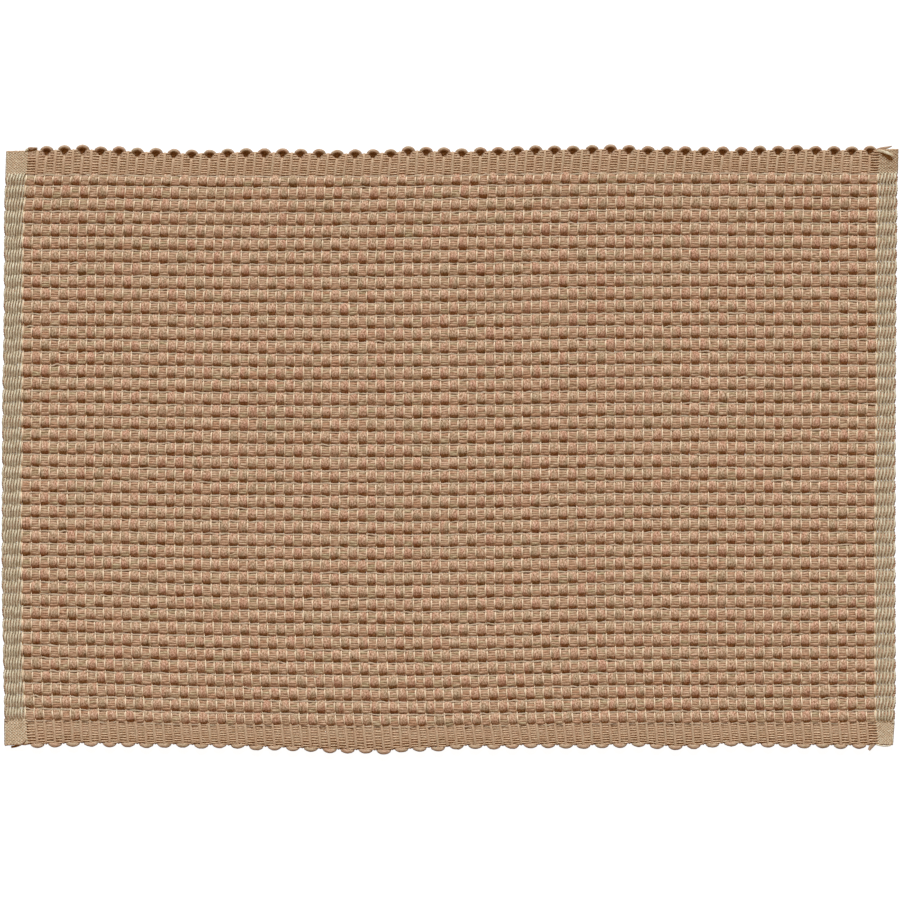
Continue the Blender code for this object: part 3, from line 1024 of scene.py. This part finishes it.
# Places along each tail, in millimetres, and its half width there.
TailPlace = namedtuple("TailPlace", "x y z half_width")
PALE_TAILS = (
    (
        TailPlace(231.6, 161.8, 3.5, 0.7),
        TailPlace(234.2, 161.4, 4.8, 0.82),
        TailPlace(236.6, 160.6, 5.7, 0.82),
        TailPlace(238.6, 159.7, 5.9, 0.7),
        TailPlace(240.0, 159.0, 5.7, 0.4),
    ),
    (
        TailPlace(-227.4, 163.0, 2.4, 0.4),
        TailPlace(-228.3, 162.9, 2.7, 0.6),
        TailPlace(-229.2, 162.4, 2.8, 0.7),
        TailPlace(-229.8, 161.6, 2.7, 0.4),
    ),
    (
        TailPlace(231.0, -159.8, 2.4, 0.3),
        TailPlace(233.8, -160.5, 3.0, 0.34),
        TailPlace(236.8, -160.7, 3.1, 0.34),
        TailPlace(239.2, -160.1, 2.7, 0.3),
    ),
)
TURNED_TAILS = (
    (
        TailPlace(230.6, 161.7, 2.6, 0.85),
        TailPlace(233.6, 162.9, 3.4, 0.85),
        TailPlace(236.6, 163.5, 4.2, 0.65),
        TailPlace(239.4, 164.3, 4.9, 0.3),
    ),
    (
        TailPlace(-224.0, 163.5, 2.6, 0.35),
        TailPlace(-225.6, 163.4, 3.1, 0.4),
        TailPlace(-227.2, 163.3, 3.2, 0.4),
        TailPlace(-228.6, 163.4, 3.0, 0.3),
    ),
    (
        TailPlace(-229.8, -156.6, 2.7, 0.3),
        TailPlace(-231.0, -158.6, 3.0, 0.36),
        TailPlace(-232.4, -160.0, 2.3, 0.5),
        TailPlace(-235.0, -160.8, 1.3, 0.6),
        TailPlace(-237.8, -161.3, 1.1, 0.62),
    ),
)

TAIL_STEPS = 3          # from one place to the next
TAIL_CORE = 0.12        # half height that every tail has
TAIL_ROUNDNESS = 0.35   # half height that goes with its half width
FIRST_TAIL_NUMBER = 800


def yarn_tails(name, tails, material):
    groups = []
    for number, tail in enumerate(tails):
        x, y, z, half_width = np.array(tail).T
        places = range(len(tail))
        steps = np.linspace(0, len(tail) - 1, TAIL_STEPS * (len(tail) - 1) + 1)
        route = [np.polyval(np.polyfit(places, axis, 3), steps) for axis in (x, y, z)]
        width = np.interp(steps, places, half_width)
        height = TAIL_CORE + TAIL_ROUNDNESS * width
        centres = np.stack(route, axis=-1)[None]
        groups.append(Yarns(centres, width, height, np.array([FIRST_TAIL_NUMBER + number])))
    return yarn_piece(name, groups, material, sides=8, fuzz=0.3)


pale_tails = yarn_tails("pale_tails", PALE_TAILS, ecru_cotton)
turned_tails = yarn_tails("turned_tails", TURNED_TAILS, turned_cotton)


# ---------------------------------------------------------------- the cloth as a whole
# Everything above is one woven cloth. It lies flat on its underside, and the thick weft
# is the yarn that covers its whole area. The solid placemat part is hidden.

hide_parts("placemat")


# ---------------------------------------------------------------- floor, light, camera
# A plain white studio floor, a soft key light from beyond the far long edge, and a
# long-lens camera straight above the mat.

FLOOR_SIZE = 6.0
FLOOR_DROP = 0.0002
VIEW_WIDTH = 488.25 * MM
VIEW_CENTRE = (0.14 * MM, -0.27 * MM)
LENS_MM = 200
SENSOR_MM = 36

floor_mesh = bpy.data.meshes.new("floor")
half = FLOOR_SIZE / 2
corners = [(-half, -half), (half, -half), (half, half), (-half, half)]
floor_mesh.from_pydata([(x, y, -FLOOR_DROP) for x, y in corners], [], [(0, 1, 2, 3)])
floor = bpy.data.objects.new("floor", floor_mesh)
bpy.context.scene.collection.objects.link(floor)
floor.visible_diffuse = False      # or its white would light the yarns from below

studio_white = bpy.data.materials.new("studio_white")
studio_white.use_nodes = True
# It glows, to stay white all over, and reflects just enough to show the mat's shadow.
paint = studio_white.node_tree.nodes["Principled BSDF"]
paint.inputs["Base Color"].default_value = (0.2, 0.2, 0.2, 1)
paint.inputs["Roughness"].default_value = 1.0
paint.inputs["Specular IOR Level"].default_value = 0.0
paint.inputs["Emission Color"].default_value = (1, 1, 1, 1)
paint.inputs["Emission Strength"].default_value = 0.97
floor_mesh.materials.append(studio_white)

key = bpy.data.lights.new("key", "SUN")
key.energy = 3.9
key.angle = np.radians(9)
key.color = (0.86, 0.985, 1.1)
key_light = bpy.data.objects.new("key", key)
key_light.rotation_euler = (np.radians(-55), 0, 0)
bpy.context.scene.collection.objects.link(key_light)

world = bpy.data.worlds.new("studio")
world.use_nodes = True
world.node_tree.nodes["Background"].inputs["Color"].default_value = (1, 0.54, 0.2, 1)
world.node_tree.nodes["Background"].inputs["Strength"].default_value = 0.22
bpy.context.scene.world = world

camera = bpy.data.cameras.new("camera")
camera.lens = LENS_MM
camera.sensor_width = SENSOR_MM
height = VIEW_WIDTH * LENS_MM / SENSOR_MM
camera.clip_end = 20
viewer = bpy.data.objects.new("camera", camera)
viewer.location = (*VIEW_CENTRE, height)
bpy.context.scene.collection.objects.link(viewer)
bpy.context.scene.camera = viewer
bpy.context.scene.view_settings.view_transform = "Standard"

bpy.context.view_layer.update()
